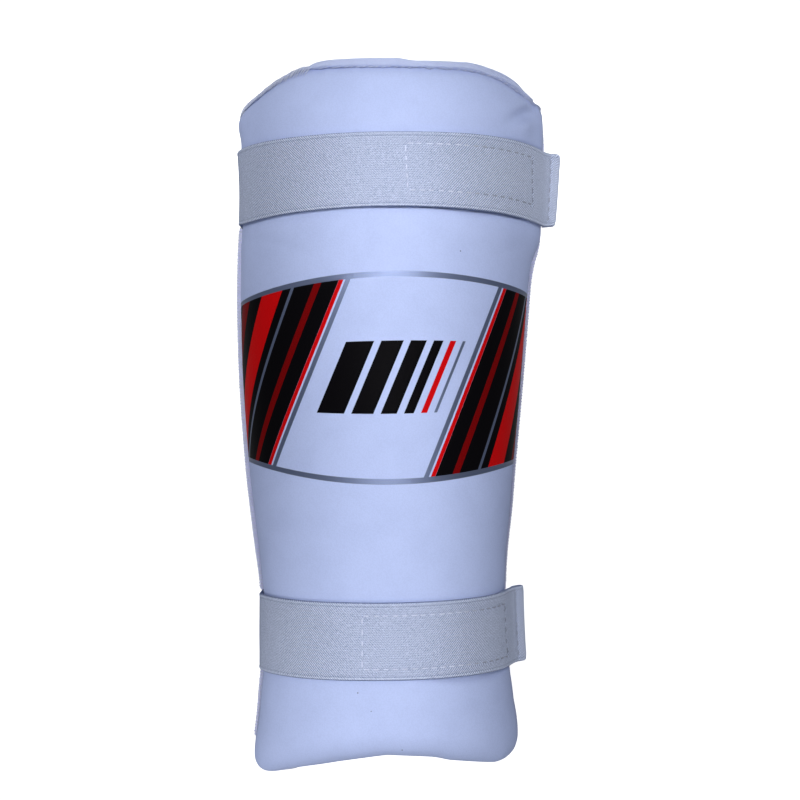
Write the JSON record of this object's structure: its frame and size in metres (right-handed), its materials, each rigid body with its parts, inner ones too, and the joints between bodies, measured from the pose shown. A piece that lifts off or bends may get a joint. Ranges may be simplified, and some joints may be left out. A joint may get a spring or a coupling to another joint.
{
  "type": "cricket arm guard",
  "caption": "Padded half-round forearm guard for a cricket batter, leathercloth over foam on a fabric back panel, with elastic straps that close on hook tape.",
  "frame": {"origin": "on the table under the middle of the guard's box, with the guard lying on its long edges", "axes": "+X across the arm towards the straps' free ends, +Y along the arm towards the elbow, +Z out of the guard's front"},
  "size_m": [0.1344, 0.2834, 0.0626],
  "materials": {
    "cover": "fine-grained white leathercloth with a printed band",
    "panel": "pale brushed lining cloth",
    "elastic": "pale grey woven elastic",
    "hook_tape": "pale woven hook tape"
  },
  "bodies": {
    "root": {"front_pad": "cover", "back_panel": "panel", "strap_upper": "elastic", "strap_lower": "elastic", "hook_patch_upper": "hook_tape", "hook_patch_lower": "hook_tape"}
  },
  "joints": []
}
